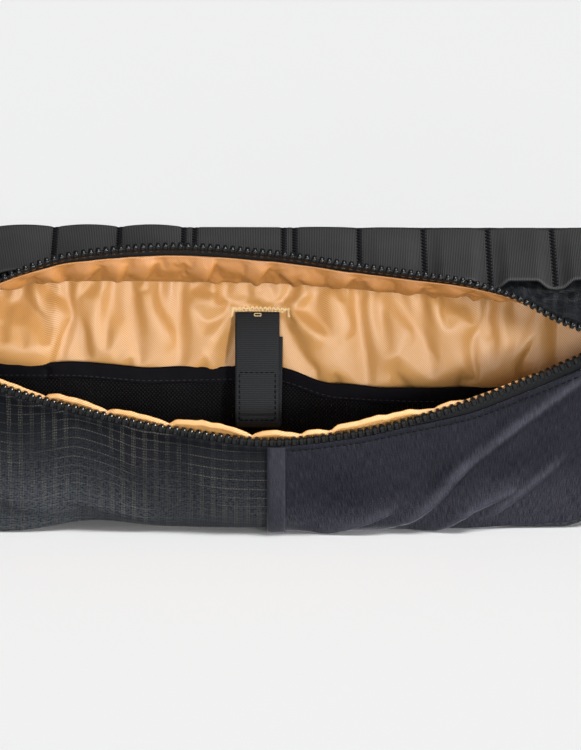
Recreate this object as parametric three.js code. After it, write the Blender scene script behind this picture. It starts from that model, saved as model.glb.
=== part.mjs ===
// Bicycle frame bag, standing on its base with its long zip open.
// Millimetres: X runs forward along the bag, Y across it towards the plain side, Z up.
// The origin is the middle of the base.
import * as THREE from "three";

const { clamp, degToRad, lerp, smoothstep } = THREE.MathUtils;

// Body
const DEPTH = 54;
const HEIGHT = 128;
const REAR_BASE = -186;
const REAR_TOP = -210;
const FRONT_BASE = 166;
const FRONT_TOP = 210;
const CORNER = 26;
const ZIP_LEVEL = 88;
const UPRIGHT = 80;

// Cloth
const SHELL = 1.2;
const LINING = 1;
const GAP = 0.3;
const LINING_INSET = 2.9;
const SLOPE = 1.06;

// Zip and the two lips of the mouth
const LIP_CLOTH = 20;
const LIP_TALL = 24.3;
const CHAIN_TALL = 4.3;
const TAPE = 0.8;
const TEETH = 2.6;
const MOUTH_OUT = 26;
const MOUTH_DROP = 42;
const LIP_LEAN = 12;
const BELLY_RISE = 3;
const FLAT_BULGE = 0.8;

// Stretch pocket on the lower side panel
const HEM_X = 13;
const HEM_WIDE = 7.4;
const HEM = 1.8;
const STRETCH = 1;

// Inner pocket of mesh
const MESH_REAR = -168;
const MESH_FRONT = 142;
const MESH_SPLIT = 9;
const MESH_FOOT = 5;
const MESH_BULGE = 11;
const MESH_PINCH = 2;
const MESH = 0.8;
const BINDING = 1.8;
const BINDING_TALL = 7.2;

// Key strap
const STRAP_X = 8;
const STRAP_WIDE = 20;
const STRAP = 1.3;

// Webbing on the top, tacked down in a ladder of loops
const WEB_BACK = 21.5;
const WEB_FRONT = -25;
const WEB = 1.4;
const TACK_PITCH = 29;
const TACK_PAIR = 5;
const TACK_FLAT = 40;
const TACK_LOOPS = 6;
const WEB_TAIL = 6;

// Sections along the bag: height of the front top edge, how far the lip is turned up and out from
// hanging (degrees), how far the lower lip has dropped open and how far the cloth under it bellies out.
const SECTIONS = [
  { x: -203, edge: 118, flip: 0, open: 0, belly: 0.8 },
  { x: -160, edge: 113, flip: 0, open: 0, belly: 4 },
  { x: -106, edge: 112.5, flip: 102, open: 0.47, belly: 24 },
  { x: -72, edge: 114, flip: 128, open: 0.71, belly: 15 },
  { x: -26, edge: 113.5, flip: 140, open: 0.91, belly: 20 },
  { x: 12, edge: 113, flip: 133, open: 1, belly: 24 },
  { x: 50, edge: 110.3, flip: 125, open: 0.87, belly: 22 },
  { x: 92, edge: 107.5, flip: 117, open: 0.59, belly: 16 },
  { x: 115, edge: 107, flip: 103, open: 0.42, belly: 12 },
  { x: 137, edge: 107, flip: 75, open: 0.24, belly: 8 },
  { x: 152, edge: 108, flip: 54, open: 0.12, belly: 5 },
  { x: 172, edge: 111.5, flip: 0, open: 0, belly: 3 },
  { x: 198, edge: 118, flip: 0, open: 0, belly: 0.8 },
];

// Soft folds of the lower side panel, from one place to another; v counts up from the base seam.
const FOLDS = [
  { fromX: 150, fromV: 0.85, toX: 78, toV: 0.15, width: 9, rise: 2.5 },
  { fromX: 118, fromV: 0.36, toX: 84, toV: 0.14, width: 6, rise: 1.8 },
  { fromX: 72, fromV: 0.3, toX: 34, toV: 0.14, width: 7, rise: 1.5 },
  { fromX: -106, fromV: 0.36, toX: -40, toV: 0.14, width: 10, rise: 2.5 },
];

// Height of the mesh pocket's bound edge.
const MESH_EDGE = [
  { x: -168, z: 67 },
  { x: -80, z: 68 },
  { x: -40, z: 65 },
  { x: 15, z: 64 },
  { x: 45, z: 57 },
  { x: 142, z: 55 },
];

// Side view of the key strap: down its face, round the fold and up behind.
const STRAP_LINE = [
  { y: 23.3, z: 92, shift: 0 },
  { y: 20.5, z: 82, shift: 0 },
  { y: 13.5, z: 68, shift: 0 },
  { y: 10, z: 54, shift: 0 },
  { y: 9, z: 44, shift: 0 },
  { y: 9.4, z: 39.4, shift: 0.2 },
  { y: 10.6, z: 38.2, shift: 0.5 },
  { y: 11.8, z: 39.4, shift: 0.8 },
  { y: 11.6, z: 44, shift: 1 },
  { y: 12.6, z: 54, shift: 1.2 },
  { y: 15.9, z: 68, shift: 1.4 },
  { y: 19.4, z: 76, shift: 1.5 },
];

const REAR = lerp(REAR_BASE, REAR_TOP, ZIP_LEVEL / HEIGHT);
const FRONT = lerp(FRONT_BASE, FRONT_TOP, ZIP_LEVEL / HEIGHT);
const REAR_LEAN = (REAR_TOP - REAR_BASE) / HEIGHT;
const FRONT_LEAN = (FRONT_TOP - FRONT_BASE) / HEIGHT;
const SEAM_Y = DEPTH / 2 - SHELL / 2;
const FOLD_Y = -(SEAM_Y + GAP);
const GUSSET_Y = DEPTH / 2 - SHELL - GAP;
const LINING_Y = GUSSET_Y - LINING / 2;
const LINED_Y = GUSSET_Y - LINING - GAP;
const UNDER = SHELL / 2 + GAP + LINING / 2;
const OVER = SHELL / 2 + GAP + STRETCH / 2;
const PANEL_TALL = 85;

const spread = (from, to, count) => Array.from({ length: count + 1 }, (_, i) => lerp(from, to, i / count));

// Reads a column of a table at x, smoothly and without overshoot.
function read(rows, column, x) {
  const last = rows.length - 1;
  const at = clamp(x, rows[0].x, rows[last].x);
  const i = clamp(rows.findIndex((row) => row.x > at) - 1, 0, last - 1);
  const k = at >= rows[last].x ? last - 1 : i;
  const secant = (n) => (rows[n + 1][column] - rows[n][column]) / (rows[n + 1].x - rows[n].x);
  const slope = (n) => {
    if (n === 0 || n === last || secant(n - 1) * secant(n) <= 0) return 0;
    return (2 * secant(n - 1) * secant(n)) / (secant(n - 1) + secant(n));
  };
  const span = rows[k + 1].x - rows[k].x;
  const t = (at - rows[k].x) / span;
  const ease = t * t * (3 - 2 * t);
  const leave = t * (1 - t) ** 2 * span * slope(k);
  const arrive = t * t * (1 - t) * span * slope(k + 1);
  return lerp(rows[k][column], rows[k + 1][column], ease) + leave - arrive;
}

// A closed slab of cloth about a middle surface.
function sheet(us, vs, point, thickness) {
  const [uStep, vStep] = [us, vs].map((list) => (list.at(-1) - list[0]) * 1e-3);
  const within = (list) => (value) => clamp(value, Math.min(...list), Math.max(...list));
  const [inU, inV] = [us, vs].map(within);
  const positions = [];
  for (const u of us) {
    for (const v of vs) {
      const alongU = point(inU(u + uStep), v).sub(point(inU(u - uStep), v));
      const alongV = point(u, inV(v + vStep)).sub(point(u, inV(v - vStep)));
      const normal = alongU.cross(alongV).normalize();
      const thick = typeof thickness === "function" ? thickness(u, v) : thickness;
      for (const side of [0.5, -0.5]) {
        positions.push(...point(u, v).addScaledVector(normal, side * thick).toArray());
      }
    }
  }
  const at = (i, j, side) => (i * vs.length + j) * 2 + side;
  const faces = [];
  const quad = (a, b, c, d) => faces.push(a, b, c, a, c, d);
  for (let i = 0; i < us.length - 1; i += 1) {
    for (let j = 0; j < vs.length - 1; j += 1) {
      quad(at(i, j, 0), at(i + 1, j, 0), at(i + 1, j + 1, 0), at(i, j + 1, 0));
      quad(at(i, j, 1), at(i, j + 1, 1), at(i + 1, j + 1, 1), at(i + 1, j, 1));
    }
  }
  const rim = [];
  for (let i = 0; i < us.length - 1; i += 1) rim.push([i, 0]);
  for (let j = 0; j < vs.length - 1; j += 1) rim.push([us.length - 1, j]);
  for (let i = us.length - 1; i > 0; i -= 1) rim.push([i, vs.length - 1]);
  for (let j = vs.length - 1; j > 0; j -= 1) rim.push([0, j]);
  rim.forEach(([i, j], n) => {
    const [k, m] = rim[(n + 1) % rim.length];
    quad(at(i, j, 0), at(i, j, 1), at(k, m, 1), at(k, m, 0));
  });
  const geometry = new THREE.BufferGeometry();
  geometry.setAttribute("position", new THREE.Float32BufferAttribute(positions, 3));
  geometry.setIndex(faces);
  geometry.computeVertexNormals();
  return geometry;
}

// How far a point moves along the bag with its height: columns stand upright along the middle and
// lean with the slanted ends.
function leanShift(station, z) {
  const lean = station < 0
    ? REAR_LEAN * smoothstep(-station, UPRIGHT, -REAR)
    : FRONT_LEAN * smoothstep(station, UPRIGHT, FRONT);
  return lean * (z - ZIP_LEVEL);
}

function place(station, y, z) {
  return new THREE.Vector3(station + leanShift(station, z), y, z);
}

// Height of the base line, which turns up round the two lower corners.
function baseLine(station, inset) {
  const radius = CORNER - inset;
  const short = radius - clamp(Math.min(station - REAR, FRONT - station) - inset, 0, radius);
  return CORNER - Math.sqrt(radius ** 2 - short ** 2);
}

// Height of the top's outer face, sloping down from the plain side to the zipped side.
function topLine(station, y) {
  return lerp(read(SECTIONS, "edge", station), HEIGHT, (y + DEPTH / 2) / DEPTH);
}

function topPoint(station, y, under) {
  return place(station, y, topLine(station, y) - under * SLOPE);
}

// Height of the top's outer face at a true place along the bag.
function topAt(x, y) {
  let station = x;
  for (let n = 0; n < 12; n += 1) station = x - leanShift(station, topLine(station, y));
  return topLine(station, y);
}

// The strip round rear end (q 0 to 1), base (1 to 2) and front end (2 to 3).
function gussetPoint(q, y, inset, topGap) {
  const ends = [REAR + inset, FRONT - inset];
  if (q > 1 && q < 2) {
    const station = lerp(ends[0], ends[1], 0.5 - 0.5 * Math.cos(Math.PI * (q - 1)));
    return place(station, y, baseLine(station, inset));
  }
  const station = q <= 1 ? ends[0] : ends[1];
  const climb = q <= 1 ? 1 - q : q - 2;
  return place(station, y, lerp(CORNER, topLine(station, y) - topGap, climb));
}

function flatSide(station, v, y, inset, topDrop) {
  return place(station, y, lerp(baseLine(station, inset), HEIGHT - topDrop, v));
}

// The upper lip swings about the front top edge; t runs down it from the edge to the teeth.
function lipPoint(station, t, inward) {
  const flip = degToRad(read(SECTIONS, "flip", station));
  const y = FOLD_Y - Math.sin(flip) * t + Math.cos(flip) * inward;
  const z = read(SECTIONS, "edge", station) - Math.cos(flip) * t - Math.sin(flip) * inward;
  return place(station, y, z);
}

// Side view of the lower side panel at one station, from the base seam up to the zip.
function lowerSection(station) {
  const open = read(SECTIONS, "open", station);
  const lean = degToRad(LIP_LEAN) * open;
  const up = new THREE.Vector2(-Math.sin(lean), Math.cos(lean));
  const closed = read(SECTIONS, "edge", station) - LIP_TALL - GAP;
  const tip = new THREE.Vector2(FOLD_Y - MOUTH_OUT * open, closed - MOUTH_DROP * open);
  const top = tip.clone().addScaledVector(up, -CHAIN_TALL);
  const base = new THREE.Vector2(-SEAM_Y, baseLine(station, 0) + SHELL / 2);
  const third = (top.y - base.y) / 3;
  const low = new THREE.Vector2(
    base.x - read(SECTIONS, "belly", station),
    base.y + lerp(third, BELLY_RISE, open),
  );
  const high = top.clone().addScaledVector(up, -lerp(third, third * 1.3, open));
  high.x -= FLAT_BULGE + 5 * open;
  return { tip, up, top, curve: new THREE.CubicBezierCurve(base, low, high, top) };
}

// How far the soft folds stand out of the lower side panel.
function foldRise(station, v) {
  let rise = 0;
  for (const fold of FOLDS) {
    const from = new THREE.Vector2(fold.fromX, fold.fromV * PANEL_TALL);
    const along = new THREE.Vector2(fold.toX, fold.toV * PANEL_TALL).sub(from);
    const here = new THREE.Vector2(station, v * PANEL_TALL).sub(from);
    const k = clamp(here.dot(along) / along.lengthSq(), 0, 1);
    const away = here.addScaledVector(along, -k).length() / fold.width;
    rise += fold.rise * Math.exp(-away * away);
  }
  return rise * Math.sin(Math.PI * clamp(v, 0, 1));
}

function lowerPoint(station, v, outward) {
  const { curve } = lowerSection(station);
  const point = curve.getPoint(v);
  const along = curve.getTangent(v);
  const out = outward + foldRise(station, v);
  return place(station, point.x - along.y * out, point.y + along.x * out);
}

function meshPoint(station, z, rise, thick) {
  const rear = Math.sin((Math.PI * (station - MESH_REAR)) / (MESH_SPLIT - MESH_REAR));
  const front = Math.sin((Math.PI * (station - MESH_SPLIT)) / (MESH_FRONT - MESH_SPLIT));
  const lobe = station < MESH_SPLIT ? rear : front;
  const toEnd = Math.min(station - MESH_REAR, MESH_FRONT - station);
  const bulge = MESH_BULGE * lobe + MESH_PINCH * smoothstep(toEnd, 0, 60);
  const face = GUSSET_Y - LINING - GAP - thick / 2;
  return place(station, face - bulge * Math.sin((Math.PI / 2) * rise), z);
}

// Places along the top where the webbing is tacked down, out from the flat middle.
function tackPlaces() {
  const places = [TACK_FLAT / 2];
  for (let n = 0; n <= TACK_LOOPS; n += 1) {
    places.push(TACK_FLAT / 2 + TACK_PAIR + n * TACK_PITCH);
  }
  return [...places.map((x) => -x).reverse(), ...places];
}

const TACKS = tackPlaces();

// Height of a webbing loop between two tacks: towards the front of the bag only its near edge lifts.
function loopRise(x, y) {
  const n = TACKS.findIndex((tack) => tack >= x);
  if (n <= 0) return 0;
  const span = TACKS[n] - TACKS[n - 1];
  if (span !== TACK_PITCH) return 0;
  const k = (x - TACKS[n - 1]) / span;
  const far = lerp(2.4, 0.4, smoothstep(x, -40, 60));
  const near = lerp(3, 5, smoothstep(x, -40, 120));
  return lerp(far, near, (WEB_BACK - y) / (WEB_BACK - WEB_FRONT)) * 4 * k * (1 - k);
}

function webPoint(x, y) {
  return new THREE.Vector3(x, y, topAt(x, y) + (GAP + WEB / 2 + loopRise(x, y)) * SLOPE);
}

const group = new THREE.Group();

function add(name, geometry, colour) {
  const mesh = new THREE.Mesh(geometry, new THREE.MeshStandardMaterial({ color: colour, roughness: 0.8 }));
  mesh.name = name;
  group.add(mesh);
}

const RIPSTOP = 0x2b2b2e;
const TAN = 0xd9a468;
const BLACK = 0x151517;

const stations = spread(REAR, FRONT, 36);
const inner = stations.map((x) => clamp(x, REAR + LINING_INSET, FRONT - LINING_INSET));
const ends = [...spread(0, 1, 4), ...spread(1, 2, 24).slice(1), ...spread(2, 3, 4).slice(1)];
const columns = (inset) => spread(Math.PI, 0, 24).map((turn) => {
  return lerp(REAR + inset, FRONT - inset, 0.5 - 0.5 * Math.cos(turn));
});
const lipRows = [16.5, 10, 3.4];
const sideRows = [0.05, ...spread(0, 1, 8).slice(1)];

add("back_panel", sheet(columns(0), spread(0, 1, 1),
  (x, v) => flatSide(x, v, SEAM_Y, 0, 0), SHELL), RIPSTOP);
add("gusset", sheet(ends, spread(-GUSSET_Y, GUSSET_Y, 3),
  (q, y) => gussetPoint(q, y, SHELL / 2, SHELL * SLOPE + 2 * GAP), SHELL), RIPSTOP);
add("top_panel", sheet(stations, spread(-GUSSET_Y, GUSSET_Y, 2),
  (x, y) => topPoint(x, y, SHELL / 2), SHELL), RIPSTOP);
add("front_lip", sheet(stations, [LIP_CLOTH, ...lipRows, 0],
  (x, t) => lipPoint(x, t, 0), SHELL), RIPSTOP);
add("front_panel", sheet(stations, [0, ...sideRows],
  (x, v) => lowerPoint(x, v, 0), SHELL), RIPSTOP);

const pocketX = [HEM_X + HEM_WIDE + GAP, ...stations.filter((x) => x > HEM_X + HEM_WIDE + 4)];
pocketX[pocketX.length - 1] = FRONT - 1;
add("stretch_pocket", sheet(pocketX, [0.13, ...spread(0, 1, 8).slice(2, 8), 0.97],
  (x, v) => lowerPoint(x, v, OVER), STRETCH), 0x33333c);
add("pocket_hem", sheet(spread(HEM_X, HEM_X + HEM_WIDE, 2), [0.13, ...spread(0, 1, 8).slice(2, 8), 0.97],
  (x, v) => lowerPoint(x, v, OVER + (HEM - STRETCH) / 2 + 0.1), HEM), 0x3c3c44);

add("lining_back", sheet(columns(LINING_INSET), spread(0, 1, 1),
  (x, v) => flatSide(x, v, LINING_Y, LINING_INSET, 3), LINING), TAN);
add("lining_gusset", sheet(ends, spread(-LINED_Y, LINED_Y, 2),
  (q, y) => gussetPoint(q, y, LINING_INSET - 0.2, (SHELL + LINING + GAP) * SLOPE + 3 * GAP), LINING), TAN);
add("lining_top", sheet(inner, spread(-LINED_Y, LINED_Y, 2),
  (x, y) => topPoint(x, y, SHELL / 2 + UNDER + 0.2), LINING), TAN);
add("lining_front", sheet(inner, sideRows,
  (x, v) => lowerPoint(x, v, -UNDER), LINING), TAN);
add("lining_lip", sheet(inner, lipRows,
  (x, t) => lipPoint(x, t, UNDER + 0.2), LINING), TAN);

const meshX = [...spread(MESH_REAR, MESH_SPLIT, 13), ...spread(MESH_SPLIT, MESH_FRONT, 10).slice(1)];
add("mesh_pocket", sheet(meshX, spread(0, 1, 5), (x, v) => {
  const z = lerp(MESH_FOOT, read(MESH_EDGE, "z", x) - BINDING_TALL, v);
  return meshPoint(x, z, v, MESH);
}, MESH), BLACK);
add("mesh_binding", sheet(meshX, spread(0, 1, 1), (x, v) => {
  const edge = read(MESH_EDGE, "z", x);
  return meshPoint(x, lerp(edge - BINDING_TALL + GAP, edge, v), 1, BINDING);
}, BINDING), BLACK);

const strapCurve = new THREE.CatmullRomCurve3(
  STRAP_LINE.map((row) => new THREE.Vector3(row.shift, row.y, row.z)), false, "centripetal");
add("key_strap", sheet([-0.5, 0.5], spread(0, 1, 26),
  (u, v) => strapCurve.getPoint(v).add(new THREE.Vector3(STRAP_X + u * STRAP_WIDE, 0, 0)), STRAP), 0x2e3032);

const webX = [TACKS[0] - WEB_TAIL];
TACKS.forEach((x, n) => {
  const span = x - (TACKS[n - 1] ?? x);
  webX.push(...spread(x - span, x, span === TACK_PITCH ? 5 : 1).slice(span ? 1 : 0, 6));
});
webX.push(TACKS.at(-1) + WEB_TAIL);
const webStations = [...new Set(webX)];
add("top_webbing", sheet(webStations, [WEB_FRONT, -10, WEB_BACK], webPoint, WEB), 0x3f4042);

const zipRows = [0, 0.4, 0.52, 1];
const zipThick = (u, v) => (v < 0.45 ? TAPE : TEETH);
add("zip_upper", sheet([...inner].reverse(), zipRows,
  (x, v) => lipPoint(x, lerp(LIP_CLOTH + 2 * GAP, LIP_TALL, v), 0), zipThick), BLACK);
add("zip_lower", sheet(inner, zipRows, (x, v) => {
  const { top, up } = lowerSection(x);
  const point = top.addScaledVector(up, lerp(GAP, CHAIN_TALL, v));
  return place(x, point.x, point.y);
}, zipThick), BLACK);

// Slider with its pull hanging down, on the shut end of the zip.
const SLIDER_X = -168;
const slider = new THREE.Shape();
slider.moveTo(-6, -3.6);
slider.lineTo(-2, -3.6);
slider.lineTo(-2, -22);
slider.absarc(0, -22, 2, Math.PI, 2 * Math.PI, false);
slider.lineTo(2, -3.6);
slider.lineTo(6, -3.6);
slider.lineTo(6, 3.6);
slider.lineTo(-6, 3.6);
slider.closePath();
const sliderBody = new THREE.ExtrudeGeometry(slider, {
  depth: 1.8, bevelEnabled: true, bevelSize: 0.5, bevelThickness: 0.5, bevelSegments: 1, curveSegments: 6,
});
const zipLine = (x) => read(SECTIONS, "edge", x) - LIP_TALL - GAP / 2;
sliderBody.rotateX(Math.PI / 2);
sliderBody.translate(SLIDER_X, FOLD_Y - TEETH / 2 - GAP - 0.5, zipLine(SLIDER_X));
add("zip_slider", sliderBody, BLACK);

// Tab sewn across the other end of the zip.
const TAB_X = 181;
add("zip_stop_tab", sheet(spread(TAB_X - 5, TAB_X + 5, 1), spread(-8, 8, 1),
  (x, v) => place(x, FOLD_Y - OVER - STRETCH / 2 - 2 * GAP - SHELL / 2, zipLine(TAB_X) + v), SHELL), RIPSTOP);

export default group;
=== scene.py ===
import math

import bmesh
import bpy
import numpy as np
from mathutils import Matrix, Vector


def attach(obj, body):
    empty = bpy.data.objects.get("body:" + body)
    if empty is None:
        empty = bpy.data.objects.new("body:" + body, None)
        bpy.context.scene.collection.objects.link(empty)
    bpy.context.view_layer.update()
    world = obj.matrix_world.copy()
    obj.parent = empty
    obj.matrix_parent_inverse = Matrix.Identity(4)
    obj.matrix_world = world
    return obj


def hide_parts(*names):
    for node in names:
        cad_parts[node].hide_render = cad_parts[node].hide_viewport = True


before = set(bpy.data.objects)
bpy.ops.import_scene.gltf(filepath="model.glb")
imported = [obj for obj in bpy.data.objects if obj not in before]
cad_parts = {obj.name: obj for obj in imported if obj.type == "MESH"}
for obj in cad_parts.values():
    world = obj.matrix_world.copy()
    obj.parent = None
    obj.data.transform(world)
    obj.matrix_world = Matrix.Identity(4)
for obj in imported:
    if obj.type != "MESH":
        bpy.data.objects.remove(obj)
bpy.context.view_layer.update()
mm = 0.001
print("frame loaded:", len(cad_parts), "nodes")

# Sizes are millimetres: X forward along the bag, Y towards its plain side, Z up
body = {"depth": 54, "height": 128, "rearBase": -186, "rearTop": -210, "frontBase": 166, "frontTop": 210,
        "corner": 26, "zipLevel": 88, "upright": 80, "shell": 1.2, "lining": 1.0, "gap": 0.3,
        "liningInset": 2.9, "slope": 1.06}
mouth = {"lipCloth": 20, "lipTall": 24.3, "chainTall": 4.3, "out": 26, "drop": 42, "lean": 12,
         "bellyRise": 3, "flatBulge": 0.8, "openBulge": 5, "panelTall": 85}

# Sections along the bag: height of the front top edge, turn of the upper lip in degrees,
# how far the lower lip has dropped and how far the cloth under it bellies out
sections = {
    "x": [-203, -160, -106, -72, -26, 12, 50, 92, 115, 137, 152, 172, 198],
    "edge": [118, 113, 112.5, 114, 113.5, 113, 110.3, 107.5, 107, 107, 108, 111.5, 118],
    "flip": [0, 0, 102, 128, 140, 133, 125, 117, 103, 75, 54, 0, 0],
    "open": [0, 0, 0.47, 0.71, 0.91, 1, 0.87, 0.59, 0.42, 0.24, 0.12, 0, 0],
    "belly": [0.8, 4, 24, 15, 20, 24, 22, 16, 12, 8, 5, 3, 0.8],
}

shell, gap = body["shell"], body["gap"]
level = body["zipLevel"] / body["height"]
rear = body["rearBase"] + (body["rearTop"] - body["rearBase"]) * level
front = body["frontBase"] + (body["frontTop"] - body["frontBase"]) * level
rearLean = (body["rearTop"] - body["rearBase"]) / body["height"]
frontLean = (body["frontTop"] - body["frontBase"]) / body["height"]
seamY = body["depth"] / 2 - shell / 2
foldY = -(seamY + gap)
gussetY = body["depth"] / 2 - shell - gap
liningY = gussetY - body["lining"] / 2
linedY = gussetY - body["lining"] - gap
under = shell / 2 + gap + body["lining"] / 2
liningTop = body["height"] - 3


def mix(low, high, k):
    return low + (high - low) * k


def clamp(x):
    return np.clip(x, 0, 1)


def ease(x, low, high):
    # 0 up to low, 1 from high, smooth between them
    t = clamp((x - low) / (high - low))
    return t * t * (3 - 2 * t)


def bell(x, wide):
    return np.exp(-((x / wide) ** 2))


def hump(k):
    # nothing at 0 and 1, one halfway
    return np.sin(math.pi * k)


def normed(rows):
    return rows / np.linalg.norm(rows, axis=1)[:, None]


def runLength(points):
    return np.concatenate([[0], np.cumsum(np.linalg.norm(np.diff(points, axis=0), axis=1))])


def readTable(table, column, x):
    # smooth reading of one column, with no overshoot
    xs, ys = np.array(table["x"], float), np.array(table[column], float)
    secant = np.diff(ys) / np.diff(xs)
    product, total = secant[:-1] * secant[1:], secant[:-1] + secant[1:]
    slope = np.zeros_like(ys)
    slope[1:-1] = np.where(product > 0, 2 * product / np.where(total == 0, 1, total), 0)
    at = np.clip(x, xs[0], xs[-1])
    k = np.clip(np.searchsorted(xs, at, side="right") - 1, 0, len(xs) - 2)
    span = xs[k + 1] - xs[k]
    t = (at - xs[k]) / span
    leave = t * (1 - t) ** 2 * span * slope[k]
    arrive = t * t * (1 - t) * span * slope[k + 1]
    return mix(ys[k], ys[k + 1], t * t * (3 - 2 * t)) + leave - arrive


def section(column, station):
    return readTable(sections, column, station)


def throughPoints(points, t):
    # smooth curve through points, read at shares t of its length
    points = np.array(points, float)
    run = runLength(points)
    slope = np.gradient(points, run, axis=0)
    at = clamp(t) * run[-1]
    k = np.clip(np.searchsorted(run, at, side="right") - 1, 0, len(run) - 2)
    span = (run[k + 1] - run[k])[:, None]
    s = ((at - run[k]) / (run[k + 1] - run[k]))[:, None]
    turn = s * (1 - s) ** 2 * span * slope[k] - s * s * (1 - s) * span * slope[k + 1]
    return mix(points[k], points[k + 1], s * s * (3 - 2 * s)) + turn


def ripple(a, b, size, seed):
    # smooth random waves of about that size, mostly between -1 and 1
    draw = np.random.default_rng(seed)
    waves = 12
    total = np.zeros(np.broadcast(a, b).shape)
    for _ in range(waves):
        turn, rate = draw.uniform(0, 2 * math.pi), 2 * math.pi / size * draw.uniform(0.6, 1.5)
        total += np.sin(rate * (math.cos(turn) * a + math.sin(turn) * b) + draw.uniform(0, 2 * math.pi))
    return total / math.sqrt(waves)


def foldField(folds, x, w):
    # folds run from one place to another, with their own width on either side
    total = np.zeros(np.broadcast(x, w).shape)
    for fromX, fromW, toX, toW, rise, left, right in folds:
        alongX, alongW = toX - fromX, toW - fromW
        k = clamp(((x - fromX) * alongX + (w - fromW) * alongW) / (alongX**2 + alongW**2))
        awayX, awayW = x - fromX - k * alongX, w - fromW - k * alongW
        wide = np.where(alongX * awayW - alongW * awayX > 0, left, right)
        total += rise * bell(np.hypot(awayX, awayW), wide) * (1 - (2 * k - 1) ** 4 * 0.6)
    return total


def creases(a, b, size, turn, seed):
    # bent ridges with sharp crests, strong in some places and gone in others
    warped = a + 0.5 * size * ripple(a, b, size * 2.2, seed)
    run = math.cos(turn) * warped + math.sin(turn) * b + 0.3 * size * ripple(a, b, size * 1.2, seed + 1)
    crest = (1 - np.abs(np.sin(math.pi * run / size))) ** 1.25
    return crest * clamp(0.45 + 0.7 * ripple(a, b, size * 1.8, seed + 2))


def pucker(along, away, size, seed):
    # little gathers along a seam that die out away from it
    return ripple(along, away * 0.3, size, seed) * np.exp(-away / (0.7 * size))


def leanShift(station, z):
    back = rearLean * ease(-station, body["upright"], -rear)
    ahead = frontLean * ease(station, body["upright"], front)
    return np.where(station < 0, back, ahead) * (z - body["zipLevel"])


def place(station, y, z):
    station, y, z = np.broadcast_arrays(station, y, z)
    return np.stack([station + leanShift(station, z), y, z], -1)


def baseLine(station, inset):
    radius = body["corner"] - inset
    short = radius - np.clip(np.minimum(station - rear, front - station) - inset, 0, radius)
    return body["corner"] - np.sqrt(radius**2 - short**2)


def topLine(station, y):
    share = (y + body["depth"] / 2) / body["depth"]
    return mix(section("edge", station), body["height"], share)


def underTop(station, y, drop):
    return place(station, y, topLine(station, y) - drop * body["slope"])


def topAt(x, y):
    station = x + 0.0
    for _ in range(12):
        station = x - leanShift(station, topLine(station, y))
    return topLine(station, y)


# The base lifts a little off the floor under the rear part of the mouth, and its side spreads there
footLook = {"archX": -66, "archWide": 22, "arch": 4.2, "archDeep": 26, "spread": 9, "spreadTall": 16,
            "spreadFrom": -34, "spreadFull": -100, "spreadEnd": -140}


def arch(station, y):
    lift = footLook["arch"] * bell(station - footLook["archX"], footLook["archWide"])
    return lift * ease(-y, 0, footLook["archDeep"])


def footSpread(station, w):
    along = ease(-station, -footLook["spreadFrom"], -footLook["spreadFull"])
    along = footLook["spread"] * along * ease(station, rear, footLook["spreadEnd"])
    return along * clamp(1 - w / footLook["spreadTall"]) ** 1.2


def lipPoint(station, t, inward):
    flip = np.radians(section("flip", station))
    y = foldY - np.sin(flip) * t + np.cos(flip) * inward
    z = section("edge", station) - np.cos(flip) * t - np.sin(flip) * inward
    return place(station, y, z)


def lowerSection(station):
    # side view of the lower side panel: zip direction, top edge and the curve's handles
    opened = section("open", station)
    lean = math.radians(mouth["lean"]) * opened
    up = np.stack([-np.sin(lean), np.cos(lean)], -1)
    closed = section("edge", station) - mouth["lipTall"] - gap
    tip = np.stack([foldY - mouth["out"] * opened, closed - mouth["drop"] * opened], -1)
    top = tip - up * mouth["chainTall"]
    foot = baseLine(station, 0) + shell / 2 + arch(station, -seamY)
    base = np.stack([np.full_like(opened, -seamY), foot], -1)
    third = (top[:, 1] - base[:, 1]) / 3
    belly = section("belly", station)
    low = base + np.stack([-belly, mix(third, mouth["bellyRise"], opened)], -1)
    high = top - up * mix(third, third * 1.3, opened)[:, None]
    high[:, 0] -= mouth["flatBulge"] + mouth["openBulge"] * opened
    return up, top, (base, low, high, top)


panelFolds = [  # fromX, fromW, toX, toW, rise, left, right
    (150, 72, 78, 13, 2.5, 9, 9),
    (118, 31, 84, 12, 1.8, 6, 6),
    (72, 26, 34, 12, 1.5, 7, 7),
    (-106, 31, -40, 12, 2.5, 10, 10),
]


def lowerPoint(station, v, outward):
    _, _, (a, b, c, d) = lowerSection(station)
    k = v[:, None]
    point = (1 - k) ** 3 * a + 3 * (1 - k) ** 2 * k * b + 3 * (1 - k) * k * k * c + k**3 * d
    along = normed((1 - k) ** 2 * (b - a) + 2 * (1 - k) * k * (c - b) + k * k * (d - c))
    out = outward + foldField(panelFolds, station, v * mouth["panelTall"]) * hump(clamp(v))
    return place(station, point[:, 0] - along[:, 1] * out, point[:, 1] + along[:, 0] * out)


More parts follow.
